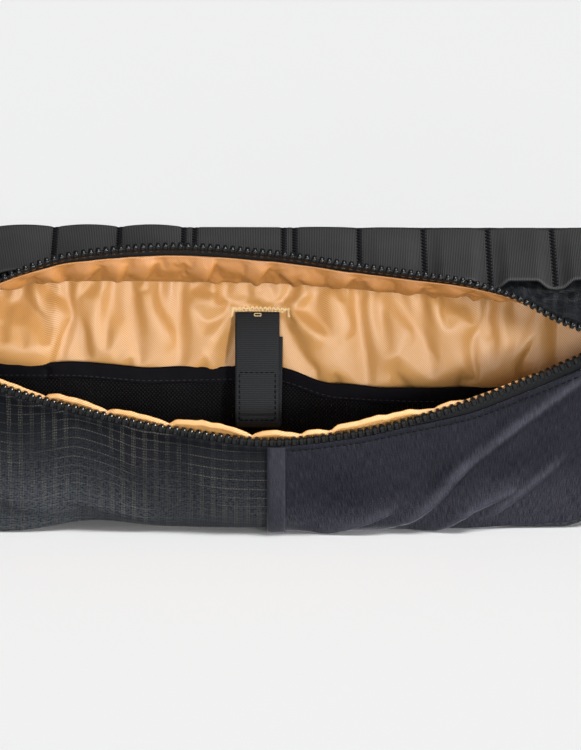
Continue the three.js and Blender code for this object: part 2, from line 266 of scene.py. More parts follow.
class Wire:
    # a shader socket that can be written in sums, with + - * from the loop below
    def __init__(self, tree, socket):
        self.tree = tree
        self.socket = socket

    def node(self, kind, settings=None, inputs=None, output=0):
        made = self.tree.nodes.new(kind)
        for key, value in (settings or {}).items():
            setattr(made, key, value)
        for key, value in (inputs or {}).items():
            if isinstance(value, Wire):
                self.tree.links.new(value.socket, made.inputs[key])
            else:
                made.inputs[key].default_value = value
        return Wire(self.tree, made.outputs[output])

    def math(self, operation, *values):
        return self.node("ShaderNodeMath", {"operation": operation}, dict(enumerate(values)))

    def wave(self, pitch):
        # 0 to 1 and back over each pitch
        return self.math("SINE", self * (2 * math.pi / pitch)) * 0.5 + 0.5

    def offLine(self, pitch):
        # distance from the nearest of a row of lines
        return self.math("ABSOLUTE", self.math("FRACT", self * (1 / pitch)) - 0.5) * pitch

    def step(self, low, high):
        return self.node("ShaderNodeMapRange", {"interpolation_type": "SMOOTHSTEP"},
                         {"Value": self, "From Min": low, "From Max": high})

    def tint(self, dark, light):
        return self.node("ShaderNodeMix", {"data_type": "RGBA"}, {0: self, 6: dark, 7: light}, 2)


for name, operation in {"add": "ADD", "sub": "SUBTRACT", "mul": "MULTIPLY"}.items():
    setattr(Wire, f"__{name}__", lambda one, other, kind=operation: one.math(kind, one, other))
    setattr(Wire, f"__r{name}__", lambda one, other, kind=operation: one.math(kind, other, one))


def rgb(red, green, blue):
    return (red, green, blue, 1)


def newMaterial(name, **fixed):
    # fixed values sit on the shader's own sockets, named with _ for a space
    material = bpy.data.materials.new(name)
    material.use_nodes = True
    shader = material.node_tree.nodes["Principled BSDF"]
    for key, value in fixed.items():
        shader.inputs[key.replace("_", " ")].default_value = value
    wire = Wire(material.node_tree, None)
    wire.material = material
    return wire


def flatMap(wire):
    # the cloth's own map, in millimetres
    spot = wire.node("ShaderNodeUVMap", {"uv_map": "flat"})
    parts = wire.node("ShaderNodeSeparateXYZ", None, {0: spot}).socket.node
    return [Wire(wire.tree, parts.outputs[n]) * 1000 for n in (0, 1)]


def noiseOn(wire, u, v, size, detail=2.0, seed=0.0):
    spot = wire.node("ShaderNodeCombineXYZ", None, {0: u, 1: v, 2: seed})
    return wire.node("ShaderNodeTexNoise", None, {"Vector": spot, "Scale": 1 / size, "Detail": detail})


def dress(wire, colour, rough=None, height=None, depth=0.1, strength=0.6, alpha=None):
    # what varies goes into colour, roughness, alpha and a bump of that depth in millimetres
    bump = None
    if height is not None:
        bump = wire.node("ShaderNodeBump", None,
                         {"Strength": strength, "Distance": depth * mm, "Height": height})
    shader = wire.tree.nodes["Principled BSDF"]
    for key, value in {"Base Color": colour, "Roughness": rough, "Normal": bump, "Alpha": alpha}.items():
        if value is not None:
            wire.tree.links.new(value.socket, shader.inputs[key])
    return wire.material


def ripstopCloth(name="ripstop cloth", deep=0.55, pale=0.0, shown=1.0):
    look = {"gridU": 5.1, "gridV": 4.3, "thread": 0.75, "split": 0.7, "fine": 0.11, "dot": 1.2}
    wire = newMaterial(name, Specular_IOR_Level=0.05, Sheen_Weight=0.04, Sheen_Roughness=0.3,
                       Sheen_Tint=rgb(0.85, 0.93, 1.0))
    u, v = flatMap(wire)
    slub = noiseOn(wire, u * 0.5, v, 0.8, 3).step(0.3, 0.7)
    weave = u.wave(look["thread"]) * v.wave(look["thread"])
    patch = noiseOn(wire, u, v, 30).step(0.4, 0.66)
    other = noiseOn(wire, u, v, 24, seed=7.0).step(0.32, 0.6)
    speck = noiseOn(wire, u * 0.7, v * 0.7, 0.5).step(0.35, 0.65)
    offU, offV = u.offLine(look["gridU"]), v.offLine(look["gridV"])
    beside = offU.math("ABSOLUTE", offU - look["split"])
    pair = offU.math("MINIMUM", offU, beside)
    dots = v.wave(look["dot"]).step(0.25, 0.75)
    threadU = (1 - pair.step(look["fine"], look["fine"] * 2.2)) * (dots * 0.8 + 0.2)
    dashes = u.wave(look["dot"]).step(0.25, 0.75)
    threadV = (1 - offV.step(look["fine"], look["fine"] * 2.6)) * (dashes * 0.7 + 0.3)
    upright = threadU * (patch * 0.6 + 0.08) * (speck * 0.7 + 0.3)
    level = threadV * (other * 0.46 + 0.14) * (speck * 0.5 + 0.5)
    grid = (upright.math("MAXIMUM", upright, level) + upright * level * 1.5) * shown
    cloud = noiseOn(wire, u, v, 38, seed=3.0)
    # low paints bounce light from the floor into the colour: the cloth turns paler towards its bottom edge,
    # by the pale amount
    low = (1 - v.step(4, 60)) * pale
    tone = (slub * 0.45 + weave * 0.55) * (low + cloud * 0.4 + deep - 0.2)
    ground = tone.tint(rgb(0.003, 0.0036, 0.0050), rgb(0.040, 0.044, 0.050))
    colour = grid.tint(ground, rgb(0.105, 0.098, 0.082))
    rib = grid * 0.5 + weave * 0.6
    return dress(wire, colour, slub * 0.15 + 0.5, rib, 0.12, 0.5)


def stretchCloth(name="stretch cloth", dark=rgb(0.003, 0.003, 0.006), light=rgb(0.040, 0.040, 0.052),
                 pale=0.7):
    wire = newMaterial(name, Specular_IOR_Level=0.06, Sheen_Weight=0.2, Sheen_Roughness=0.3,
                       Sheen_Tint=rgb(0.9, 0.9, 1.0))
    u, v = flatMap(wire)
    streak = noiseOn(wire, (u + v * 0.14) * 3.0, v * 0.2, 0.9, 3)
    grain = noiseOn(wire, u, v, 0.5, 1)
    cloud = noiseOn(wire, u, v, 26)
    tone = (streak * 0.75 + grain * 0.35 - 0.05).step(0.34, 0.72)
    # low paints bounce light from the floor into the colour: paler towards the bottom edge, fading towards
    # the front
    low = (1 - v.step(6, 38)) * (1.35 - u * 0.005) * pale
    # crest is a painted highlight: the colour is made lighter along each fold's crest
    crest = wire.node("ShaderNodeAttribute", {"attribute_name": "crest"}, None, 2)
    tone = tone * (low + 0.36) + cloud * 0.2 + low * 0.15 - 0.07 + crest * (tone * 0.5 + 0.42)
    return dress(wire, tone.tint(dark, light), cloud * 0.15 + 0.55,
                 streak * 0.7 + grain * 0.5, 0.1, 0.45)


def twillLining(name="twill lining", dark=rgb(0.36, 0.155, 0.034), light=rgb(0.78, 0.435, 0.150)):
    look = {"pitch": 1.0, "cross": 0.62}
    wire = newMaterial(name, Specular_IOR_Level=0.9)
    u, v = flatMap(wire)
    rib = (u + v).wave(look["pitch"])
    cross = (u - v).wave(look["cross"])
    cloud = noiseOn(wire, u, v, 45)
    weave = rib * 0.7 + cross * 0.3
    tone = weave * 0.8 + cloud * 0.3 - 0.05
    return dress(wire, tone.tint(dark, light), 0.46 - weave * 0.14, weave, 0.12, 0.7)


def ribbedTape(name, pitch, dark, light, along, spread=0.6):
    # webbing and straps: ribs across, fine yarn lines along
    wire = newMaterial(name, Specular_IOR_Level=0.25)
    u, v = flatMap(wire)
    across, length = (v, u) if along else (u, v)
    wobble = noiseOn(wire, u, v, 6)
    rib = (length + wobble * 0.25).wave(pitch)
    yarn = across.wave(spread)
    worn = noiseOn(wire, u, v, 22, 3)
    tone = rib * 0.75 + yarn * 0.15 + worn * 0.35 - 0.08
    return dress(wire, tone.tint(dark, light), 0.66 - rib * 0.14,
                 rib * 0.8 + yarn * 0.25, 0.16, 0.7)


def bindingTape():
    wire = newMaterial("binding tape", Specular_IOR_Level=0.06)
    u, v = flatMap(wire)
    grain = noiseOn(wire, u * 0.8, v * 1.6, 0.8, 3)
    weave = (u + v * 0.5).wave(0.7)
    colour = (grain * 0.7 + weave * 0.3).tint(rgb(0.0008, 0.0008, 0.0016), rgb(0.006, 0.0055, 0.008))
    return dress(wire, colour, grain * 0.2 + 0.6, grain * 0.6 + weave * 0.5, 0.12, 0.5)


def pocketMesh():
    look = {"columns": 2.3, "rows": 1.05, "hole": 0.17, "dash": 1.7, "dashRow": 0.95}
    wire = newMaterial("pocket mesh", Specular_IOR_Level=0.04)
    u, v = flatMap(wire)
    rowOff = v.offLine(look["rows"])
    columnOff = u.offLine(look["columns"])
    hole = rowOff.math("SQRT", rowOff * rowOff + columnOff * columnOff * 0.6)
    solid = hole.step(look["hole"] * 0.7, look["hole"] * 1.25)
    row = v.math("FLOOR", v * (1 / look["dashRow"]))
    dash = (u + row * (look["dash"] / 2)).wave(look["dash"]).step(0.3, 0.7)
    edge = v.offLine(look["dashRow"]).step(look["dashRow"] * 0.2, look["dashRow"] * 0.45)
    cord = dash * (1 - edge)
    cloud = noiseOn(wire, u, v, 12)
    colour = (cord * 0.8 + cloud * 0.2).tint(rgb(0.0005, 0.0005, 0.0007), rgb(0.013, 0.013, 0.015))
    return dress(wire, colour, cloud * 0.2 + 0.5, cord, 0.2, 0.7, solid)


def zipTape():
    wire = newMaterial("zip tape", Specular_IOR_Level=0.2)
    u, v = flatMap(wire)
    bone = (u + v.offLine(1.6) * 1.2).wave(0.8)
    grain = noiseOn(wire, u, v, 0.7)
    colour = (bone * 0.5 + grain * 0.5).tint(rgb(0.003, 0.003, 0.004), rgb(0.015, 0.016, 0.017))
    return dress(wire, colour, grain * 0.2 + 0.58, bone * 0.8 + grain * 0.3, 0.12, 0.7)


def objectNoise(wire, size, detail=2.0):
    inputs = {"Vector": wire.node("ShaderNodeTexCoord", None, None, 3), "Scale": 1 / (size * mm)}
    return wire.node("ShaderNodeTexNoise", None, {**inputs, "Detail": detail})


def mouldedPlastic():
    wire = newMaterial("moulded teeth", Specular_IOR_Level=0.07, Coat_Weight=0.5, Coat_Roughness=0.06)
    speck = objectNoise(wire, 0.6, 3)
    colour = speck.tint(rgb(0.001, 0.001, 0.0015), rgb(0.004, 0.0045, 0.0045))
    return dress(wire, colour, speck * 0.2 + 0.3, speck, 0.05, 0.3)


def paintedMetal():
    wire = newMaterial("painted metal", Specular_IOR_Level=0.3, Coat_Weight=0.2, Coat_Roughness=0.15)
    speck = objectNoise(wire, 1.2, 3)
    colour = speck.tint(rgb(0.008, 0.008, 0.009), rgb(0.030, 0.030, 0.032))
    return dress(wire, colour, speck * 0.25 + 0.25, speck, 0.03, 0.3)


def sewingThread(name, dark, light):
    wire = newMaterial(name, Specular_IOR_Level=0.12)
    twist = objectNoise(wire, 0.3)
    return dress(wire, twist.tint(dark, light), twist * 0.2 + 0.5, twist, 0.06, 0.5)


ripstop = ripstopCloth()
# The side panel's copy has painted light in its colour: darker overall and paler towards the bottom, for the
# bounce from the floor
sideRipstopPaintedLight = ripstopCloth("side ripstop", 0.08, 1.65)
lipRipstop = ripstopCloth("lip ripstop", 0.28, shown=0.5)
stretch = stretchCloth()
# The hem band's copy paints a little bounce light towards its bottom
hemBand = stretchCloth("hem band", rgb(0.014, 0.014, 0.020), rgb(0.056, 0.057, 0.070), 0.1)
lining = twillLining()
# The lip's copy of the lining is darker than the rest: painted shade on the same fabric
shadedLipLining = twillLining("lip lining", rgb(0.28, 0.100, 0.018), rgb(0.55, 0.245, 0.062))
webbing = ribbedTape("webbing", 0.75, rgb(0.002, 0.002, 0.002), rgb(0.054, 0.054, 0.056), True)
strapTape = ribbedTape("strap tape", 0.85, rgb(0.003, 0.0035, 0.004), rgb(0.014, 0.0175, 0.021), False)
binding = bindingTape()
meshCloth = pocketMesh()
tape = zipTape()
plastic = mouldedPlastic()
metal = paintedMetal()
blackThread = sewingThread("black thread", rgb(0.0004, 0.0004, 0.0008), rgb(0.0025, 0.0025, 0.004))
greyThread = sewingThread("grey thread", rgb(0.010, 0.010, 0.012), rgb(0.034, 0.033, 0.037))
tanThread = sewingThread("tan thread", rgb(0.60, 0.40, 0.18), rgb(0.90, 0.70, 0.40))
print("materials made")


def linked(name, data):
    made = bpy.data.objects.new(name, data)
    bpy.context.scene.collection.objects.link(made)
    return made


def addObject(name, mesh, material):
    mesh.materials.append(material)
    mesh.shade_smooth()
    return linked(name, mesh)


def meshFrom(name, built):
    mesh = bpy.data.meshes.new(name)
    built.to_mesh(mesh)
    built.free()
    return mesh


def vertexSpots(mesh):
    spots = np.empty(len(mesh.vertices) * 3)
    mesh.vertices.foreach_get("co", spots)
    return spots.reshape(-1, 3)


def hangCloth(mesh, points, hang):
    # a cloth simulation, in units of 100 mm, lets the spare length fall into folds
    scene, unit, mostBack = bpy.context.scene, 0.01, -0.15
    trial = linked("trial", mesh.copy())
    trial.data.vertices.foreach_set("co", (points * unit).ravel())
    group = trial.vertex_groups.new(name="held")
    for index in np.flatnonzero(hang["held"] > 0.01):
        group.add([int(index)], float(hang["held"][index]), "REPLACE")
    cloth = trial.modifiers.new("cloth", "CLOTH")
    settings = {"vertex_group_mass": "held", "quality": 5, "mass": 0.15, "tension_stiffness": 20,
                "compression_stiffness": 20, "shear_stiffness": 8, "bending_stiffness": hang["bend"],
                "air_damping": 3, "shrink_min": -hang["spare"]}
    for key, value in settings.items():
        setattr(cloth.settings, key, value)
    cloth.collision_settings.use_collision = False
    cloth.point_cache.frame_start, cloth.point_cache.frame_end = 1, hang["steps"]
    scene.gravity = hang["pull"]
    for step in range(1, hang["steps"] + 1):
        scene.frame_set(step)
    spots = vertexSpots(trial.evaluated_get(bpy.context.evaluated_depsgraph_get()).data)
    bpy.data.objects.remove(trial)
    scene.frame_set(1)
    moved = spots / unit - points
    off = (moved * hang["side"]).sum(1)
    kept = np.clip(off, mostBack, hang["room"])
    return points + moved + hang["side"] * (kept - off)[:, None]


def offFloor(points, least):
    points[:, 2] = np.maximum(points[:, 2], least)
    return points


def settle(piece, slot, *nodes):
    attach(piece, "root")
    if nodes:
        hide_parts(*nodes)
    return piece


def clothSheet(name, counts, shape, thickness, material, slot, hang=None, crest=None):
    # a grid moved into shape, with its flat map and thickness, for the node that it is named after
    across, up = counts
    grid = bmesh.new()
    bmesh.ops.create_grid(grid, x_segments=across, y_segments=up, size=0.5)
    mesh = meshFrom(name, grid)
    u, v = vertexSpots(mesh)[:, :2].T + 0.5
    points = shape(u, v)
    if hang:
        points = hangCloth(mesh, points, hang(u, v))
    mesh.vertices.foreach_set("co", (points * mm).ravel())
    rows = points.reshape(up + 1, across + 1, 3)
    flat = np.zeros((up + 1, across + 1, 2))
    flat[:, 1:, 0] = np.cumsum(np.linalg.norm(np.diff(rows, axis=1), axis=2), axis=1).mean(0)
    flat[1:, :, 1] = np.cumsum(np.linalg.norm(np.diff(rows, axis=0), axis=2), axis=0)
    corners = np.empty(len(mesh.loops), int)
    mesh.loops.foreach_get("vertex_index", corners)
    corners = flat.reshape(-1, 2)[corners] * mm
    mesh.uv_layers.new(name="flat").uv.foreach_set("vector", corners.ravel())
    # crest gives each point a painted highlight value, read by the stretch cloth's colour
    if crest:
        mesh.attributes.new("crest", "FLOAT", "POINT").data.foreach_set("value", crest(u, v))
    made = addObject(name, mesh, material)
    wall = made.modifiers.new("wall", "SOLIDIFY")
    wall.thickness = thickness * mm
    wall.offset = 0
    print(f"{name}: {flat[..., 0].max():.0f} x {flat[-1, :, 1].mean():.0f} mm")
    return settle(made, slot, name.rsplit("_", 1)[0])


def scatter(name, template, frames, material):
    # many copies of a small mesh, joined
    base = vertexSpots(template)
    count = len(base)
    base = np.column_stack([base, np.ones(count)])
    points = np.einsum("nij,kj->nki", frames, base)[..., :3].reshape(-1, 3)
    faces = [[corner + n * count for corner in face.vertices]
             for n in range(len(frames)) for face in template.polygons]
    mesh = bpy.data.meshes.new(name)
    mesh.from_pydata((points * mm).tolist(), [], faces)
    return addObject(name, mesh, material)


def framesAt(along, side, up, at):
    frames = np.zeros((len(at), 4, 4))
    frames[:, :3] = np.stack([along, side, up, at], -1)
    frames[:, 3, 3] = 1
    return frames


def stitchTemplate():
    grain = bmesh.new()
    bmesh.ops.create_uvsphere(grain, u_segments=6, v_segments=5, radius=0.5)
    bmesh.ops.rotate(grain, matrix=Matrix.Rotation(math.pi / 2, 3, "Y"), verts=grain.verts)
    return meshFrom("stitch", grain)


stitchMesh = stitchTemplate()
threadLift = 0.45  # of a stitch's middle above its cloth


def sew(name, rows, wide, thread, slot):
    # each row is two arrays: where its stitches start and where they end
    starts, ends = (np.concatenate(part) for part in zip(*rows))
    along = ends - starts
    length = np.linalg.norm(along, axis=1)[:, None]
    along = along / length
    side = normed(np.cross(along, np.where(np.abs(along[:, 2:]) > 0.9, [[1.0, 0, 0]], [[0, 0, 1.0]])))
    frames = framesAt(along * length, side * wide, np.cross(along, side) * wide, (starts + ends) / 2)
    settle(scatter(name, stitchMesh, frames, thread), slot)


def stitchRow(path, low, high, pitch, share=0.78):
    # along a path of one value, each stitch taking up that share of the pitch
    count = max(2, int(abs(high - low) / pitch))
    at = np.linspace(low, high, count + 1)[:-1]
    return path(at), path(at + (high - low) / count * share)


def zigzag(path, low, high, pitch):
    # path takes a place along the row and a side of -1 or 1
    count = max(2, int(abs(high - low) / pitch))
    at = np.linspace(low, high, count + 1)
    points = path(at, np.where(np.arange(count + 1) % 2, 1.0, -1.0))
    return points[:-1], points[1:]


def boxRows(face, box, pitches, share=0.78, spans=None):
    # two rows across a face of two values, then two rows up it
    (left, right), (low, high) = box
    across, up = spans or box
    rows = []
    for v in (low, high):
        rows.append(stitchRow(lambda u, v=v: face(u, np.full_like(u, v)), *across, pitches[0], share))
    for u in (left, right):
        rows.append(stitchRow(lambda v, u=u: face(np.full_like(v, u), v), *up, pitches[1], share))
    return rows


# Outer shell: back, strip round the ends and base, and top
shellLook = {"cloth": 0.8, "edgeRound": 1.3, "edgeWide": 2.6, "billow": 1.3, "topIn": 1.2,
             "stitchIn": 5.0, "stitchPitch": 2.9, "gussetLong": 600}


def edgeDrop(away):
    return shellLook["edgeRound"] * np.exp(-away / shellLook["edgeWide"])


def fromRim(u, v):
    # distance from the nearest edge of a side of the bag
    return np.minimum(np.minimum(u, 1 - u) * (front - rear), np.minimum(v, 1 - v) * body["height"])


def backPoint(u, v):
    station, away = mix(rear, front, u), fromRim(u, v)
    z = mix(baseLine(station, 0), body["height"] - shellLook["topIn"], v)
    swell = shellLook["billow"] * (hump(u) * hump(v)) ** 0.5
    rough = 0.5 * ripple(station, z, 70, 3) * clamp(away / 12)
    rough = rough + 0.35 * pucker(station + z, away, 11, 4)
    return place(station, seamY + swell + rough - edgeDrop(away), z)


def gussetPoint(q, y, inset, topGap):
    low, high = rear + inset, front - inset
    along = 0.5 - 0.5 * np.cos(math.pi * clamp(q - 1))
    station = np.where(q <= 1, low, np.where(q >= 2, high, mix(low, high, along)))
    climb = np.where(q <= 1, 1 - q, np.where(q >= 2, q - 2, 0))
    upright = mix(body["corner"], topLine(station, y) - topGap, climb)
    lying = baseLine(station, inset) + arch(station, y)
    return place(station, y, np.where((q > 1) & (q < 2), lying, upright))


def gussetShape(u, v):
    y = mix(-gussetY, gussetY, v)
    away = np.minimum(v, 1 - v) * 2 * gussetY
    dent = edgeDrop(away) * 0.9 + 0.25 * np.maximum(0, pucker(u * shellLook["gussetLong"], away, 10, 6))
    points = gussetPoint(u * 3, y, shell / 2 + dent, shell * body["slope"] + 2 * gap)
    points[:, 1] -= footSpread(points[:, 0], points[:, 2]) * (1 - v) ** 2
    return points


def topShape(u, v):
    station, y = mix(rear, front, u), mix(foldY + 0.35, gussetY, v)
    away = np.minimum(v, 1 - v) * 2 * gussetY
    drop = shell / 2 + edgeDrop(2 * gussetY * (1 - v)) - 0.5 * bell(y - gussetY + 3, 2.5)
    rough = 0.3 * pucker(station, away, 12, 8) * v
    return underTop(station, y, drop + rough)


backPanel = clothSheet("back_panel_cloth", (200, 64), backPoint, shellLook["cloth"], ripstop, "ripstop")
gussetStrip = clothSheet("gusset_cloth", (300, 30), gussetShape, shellLook["cloth"], ripstop, "ripstop")
topPanel = clothSheet("top_panel_cloth", (260, 36), topShape, shellLook["cloth"], ripstop, "ripstop")


def shellRows():
    long, tall, lift = front - rear, body["height"], np.array([0, threadLift, 0])
    inX, inZ = shellLook["stitchIn"] / long, shellLook["stitchIn"] / tall
    pitches = shellLook["stitchPitch"] / long, shellLook["stitchPitch"] / tall
    box, spans = ((inX, 1 - inX), (inZ, 1 - inZ)), ((0.025, 0.975), (0.06, 0.94))
    return boxRows(lambda u, v: backPoint(u, v) + lift, box, pitches, spans=spans)


sew("shell_stitching", shellRows(), 0.45, blackThread, "ripstop")
print("shell made")

# Lower side panel, stretch pocket and its hem
pocketLook = {"hemX": 13, "hemWide": 7.4, "hem": 1.5, "hemTop": 1.008, "cloth": 0.8, "lift": 1.4, "tall": 72,
              "footV": 0.03, "bandFrom": 66, "bandTo": 112, "bandTall": 2.2, "cover": 0.016,
              "stitchIn": 3.4, "stitch": 2.8, "flareFrom": 0.94, "offFloor": 0.7, "hemOffFloor": 1.1}
hemEnd = pocketLook["hemX"] + pocketLook["hemWide"]
pocketFolds = [  # fromX, fromW, toX, toW, rise, left, right
    (162, 78, 121, 63, 3.6, 3.6, 9),
    (129, 66, 95, 48.5, 3.0, 3.2, 9),
    (103, 54, 73, 20, 4.0, 3.0, 9),
    (133, 29, 102, 23, 3.0, 2.4, 8),
    (108, 26, 80, 1, 3.6, 1.8, 8),
    (158, 36, 120, 16, 3.2, 3, 8),
    (31, 12, 68, 33, 3.4, 7, 2.0),
]
panelCreases = [  # fromX, fromW, toX, toW, rise, left, right
    (-114, 29, -74, 14, 2.4, 9, 1.5),
    (-71, 26, -38, 20, 2.0, 9, 1.5),
    (-20, 66, -2, 30, 1.0, 9, 9),
    (-50, 70, -30, 40, 0.9, 8, 8),
]


def topV(station):
    # the cloth's edge lies lower where the zip's tape shows
    low = ease(station, pocketLook["bandFrom"], pocketLook["bandTo"])
    return mix(1 + pocketLook["cover"], 1 - pocketLook["bandTall"] / pocketLook["tall"], low)


def stitchDent(station, v):
    # the groove that the topstitching draws under the zip
    return 0.55 * bell((topV(station) - v) * mouth["panelTall"] - pocketLook["stitchIn"], 1.1)


def frontDetail(station, v):
    w = v * mouth["panelTall"]
    soft = 0.35 * ripple(station, w, 60, 11) * hump(v)
    return foldField(panelCreases, station, w) + soft - stitchDent(station, v) * 0.7


def frontShape(u, v):
    station = mix(rear, front, u)
    v = v * (topV(station) - 0.012 * ease(station, 15, 40))
    flare = 1.7 * ease(v, pocketLook["flareFrom"], 1.0)
    points = lowerPoint(station, v, frontDetail(station, v) + flare)
    points[:, 1] -= footSpread(station, v * mouth["panelTall"])
    return offFloor(points, pocketLook["offFloor"])


def pocketDetail(station, v):
    w = v * mouth["panelTall"]
    fade = hump(np.clip(v, 0.001, 0.999)) ** 0.4
    near = ease(station, pocketLook["hemX"] + 4, pocketLook["hemX"] + 30)
    soft = 0.4 * ripple(station, w, 48, 14) * near
    folds = (foldField(pocketFolds, station, w) + soft + 0.6) * fade * near
    flare = 0.6 * ease(v, pocketLook["flareFrom"], 1.0)
    return frontDetail(station, v) * 0.3 + folds + flare - stitchDent(station, v)


def pocketLift(station, v):
    return pocketLook["lift"] + np.maximum(pocketDetail(station, v), -0.5)


def pocketSpot(u, v):
    station = mix(hemEnd - 1.5, front - 1, u)
    return station, mix(pocketLook["footV"], topV(station), v)


def pocketShape(u, v):
    station, v = pocketSpot(u, v)
    return offFloor(lowerPoint(station, v, pocketLift(station, v)), pocketLook["offFloor"])


def pocketCrestHighlight(u, v):
    # painted highlight: 1 along the crest of each fold, fading a little to either side
    station, v = pocketSpot(u, v)
    lines = [(*row[:4], row[4] / 4, row[5] * 0.55, row[6] * 0.4) for row in pocketFolds]
    return clamp(foldField(lines, station, v * mouth["panelTall"]))


def hemShape(u, v):
    # the band's edge rolls under at its free side
    station, v = mix(pocketLook["hemX"], hemEnd, u), mix(0, pocketLook["hemTop"], v)
    roll = 0.7 * np.exp(-u * pocketLook["hemWide"] / 0.6)
    step = 0.35 * ease(u, 0.86, 1.0)
    points = lowerPoint(station, v, pocketLook["lift"] + 1.0 - roll - step)
    return offFloor(points, pocketLook["hemOffFloor"])


frontPanel = clothSheet("front_panel_cloth", (270, 64), frontShape, 0.8, sideRipstopPaintedLight, "ripstop")
# The stretch pocket carries painted highlights along its fold crests
pocketCloth = clothSheet("stretch_pocket_cloth", (180, 90), pocketShape, pocketLook["cloth"], stretch,
                         "stretch", crest=pocketCrestHighlight)
hemPiece = clothSheet("pocket_hem_band", (10, 90), hemShape, pocketLook["hem"], hemBand, "hem")


def underZip(x):
    v = topV(x) - pocketLook["stitchIn"] / mouth["panelTall"]
    lift = np.where(x > hemEnd, pocketLift(x, v), frontDetail(x, v) + 0.3)
    return lowerPoint(x, v, lift + threadLift)


def lowerRows():
    # topstitching under the zip, on either side of the hem
    return [stitchRow(underZip, rear + 8, pocketLook["hemX"] - 2, pocketLook["stitch"]),
            stitchRow(underZip, hemEnd + 3, front - 6, pocketLook["stitch"])]


sew("lower_stitching", lowerRows(), 0.85, blackThread, "ripstop")
print("lower side made")

# Upper lip, turned up and out
lipLook = {"cloth": 0.8, "crumple": 4.2, "crumpleSize": 13}


def lipShape(u, v):
    station = mix(rear, front, u)
    t = mix(mouth["lipCloth"], 0, v)
    slack = ease(station, 100, 130) * hump(clamp(t / mouth["lipCloth"])) ** 0.7
    size = lipLook["crumpleSize"]
    crumple = creases(station, t, size, 0.9, 21) + 0.4 * ripple(station, t, size, 24)
    return lipPoint(station, t, -np.maximum(lipLook["crumple"] * slack * crumple, -0.4))


lipCloth = clothSheet("front_lip_cloth", (420, 26), lipShape, lipLook["cloth"], lipRipstop, "ripstop")

# Tan lining, kept clear of the mesh pocket's edge and the key strap
meshEdge = {"x": [-168, -80, -40, 15, 45, 142], "z": [67, 68, 65, 64, 57, 55]}
strapLook = {"x": 8, "wide": 20, "thick": 1.2, "boxLow": 41.7, "boxHigh": 63.3, "boxIn": 1.9,
             "slotX": (-3.2, 22.2), "slotZ": (86.4, 89.5), "tack": ((6.6, 9.6), (87.7, 88.7)), "crown": 0.35}
liningLook = {
    "cloth": 0.5,
    "backSlack": 2.0,
    "roll": 2.4,
    "hang": {"spare": 0.055, "bend": 3.5, "steps": 40, "pull": (0, -3, -5)},
    "lipHang": {"spare": 0.022, "bend": 1.4, "steps": 36, "pull": (0, -2, -1)},
}
backFolds = [  # fromX, fromZ, toX, toZ, rise, left, right
    (-128, 98, -80, 76, 7.0, 6, 9),
    (-120, 82, -80, 68, 5.0, 6, 9),
    (-96, 101, -76, 86, 4.0, 4, 6),
    (-70, 99, -52, 76, 3.6, 5, 7),
    (-44, 99, -30, 74, 3.2, 4, 7),
    (-22, 97, -6, 90, 2.6, 4, 4),
    (-16, 74, -3, 88, 2.0, 4, 5),
    (22, 90, 40, 78, 4.0, 3, 6),
    (22, 91, 32, 99, 2.0, 4, 3),
    (10, 99, 14, 92, 1.8, 4, 4),
    (40, 100, 52, 80, 3.4, 4, 7),
    (58, 99, 80, 78, 4.0, 4, 8),
    (82, 98, 108, 82, 4.4, 4, 8),
    (112, 97, 124, 72, 2.6, 5, 8),
    (-34, 60, -20, 30, 2.0, 7, 7),
    (60, 56, 90, 24, 2.0, 8, 8),
]


def meshTop(station):
    return readTable(meshEdge, "z", station)


def freeOfPocket(station, z):
    edge = meshTop(station)
    nearStrap = bell(station - strapLook["x"], 15) * ease(z, 91, 84)
    return ease(z, edge - 12, edge + 4) * (1 - 0.75 * nearStrap)


def liningStation(u):
    return mix(rear + body["liningInset"], front - body["liningInset"], u)


def liningSpot(u, v):
    station = liningStation(u)
    return station, mix(baseLine(station, body["liningInset"]), liningTop, v)


def liningBackShape(u, v):
    station, z = liningSpot(u, v)
    held = clamp(fromRim(u, v) / 14)
    slack = liningLook["backSlack"] * ease(z, 40, 80) * held
    folds = foldField(backFolds, station, z) * 1.25 + 0.6 * ripple(station, z, 30, 38)
    folds += 1.3 * pucker(station, np.maximum(101 - z, 0), 11, 39)
    return place(station, liningY - np.maximum(slack + folds * held * freeOfPocket(station, z), -0.2), z)


def outside(x, span):
    low, high = span
    return np.maximum(np.maximum(low - x, x - high), 0)


def liningBackHang(u, v):
    # held at its rim, round the strap's slot and behind the mesh pocket
    station, z = liningSpot(u, v)
    long, tall, seamZ = 400, 124, 104
    rim = np.minimum(np.minimum(u, 1 - u) * long, np.minimum(v * tall, np.maximum(seamZ - z, 0)))
    slotAway = np.hypot(outside(station, strapLook["slotX"]), outside(z, strapLook["slotZ"]))
    held = np.maximum(1 - ease(rim, 0, 3), 1 - ease(slotAway, 0.5, 2.5))
    held = np.maximum(held, 1 - ease(z, 40, 52))
    room = mix(0.1, 9, freeOfPocket(station, z))
    side = np.tile([0.0, -1.0, 0.0], (len(u), 1))
    return {"held": held, "room": room, "side": side, **liningLook["hang"]}


pinches = {  # where the lining's roll over the lower zip is caught, and its height past each
    "x": [-150, -118, -85.6, -57.8, -29.9, 6, 28, 41, 87, 100.5, 140, 170],
    "puff": [0.5, 1.6, 3.0, 2.6, 4.4, 2.8, 2.4, 4.2, 1.6, 0.0, 0.0, 0.0],
}


def puffAt(x):
    spots = np.array(pinches["x"], float)
    k = np.clip(np.searchsorted(spots, x, side="right") - 1, 0, len(spots) - 2)
    share = clamp((x - spots[k]) / (spots[k + 1] - spots[k]))
    height = np.array(pinches["puff"])[k]
    return height * hump(share**0.75) ** 0.6


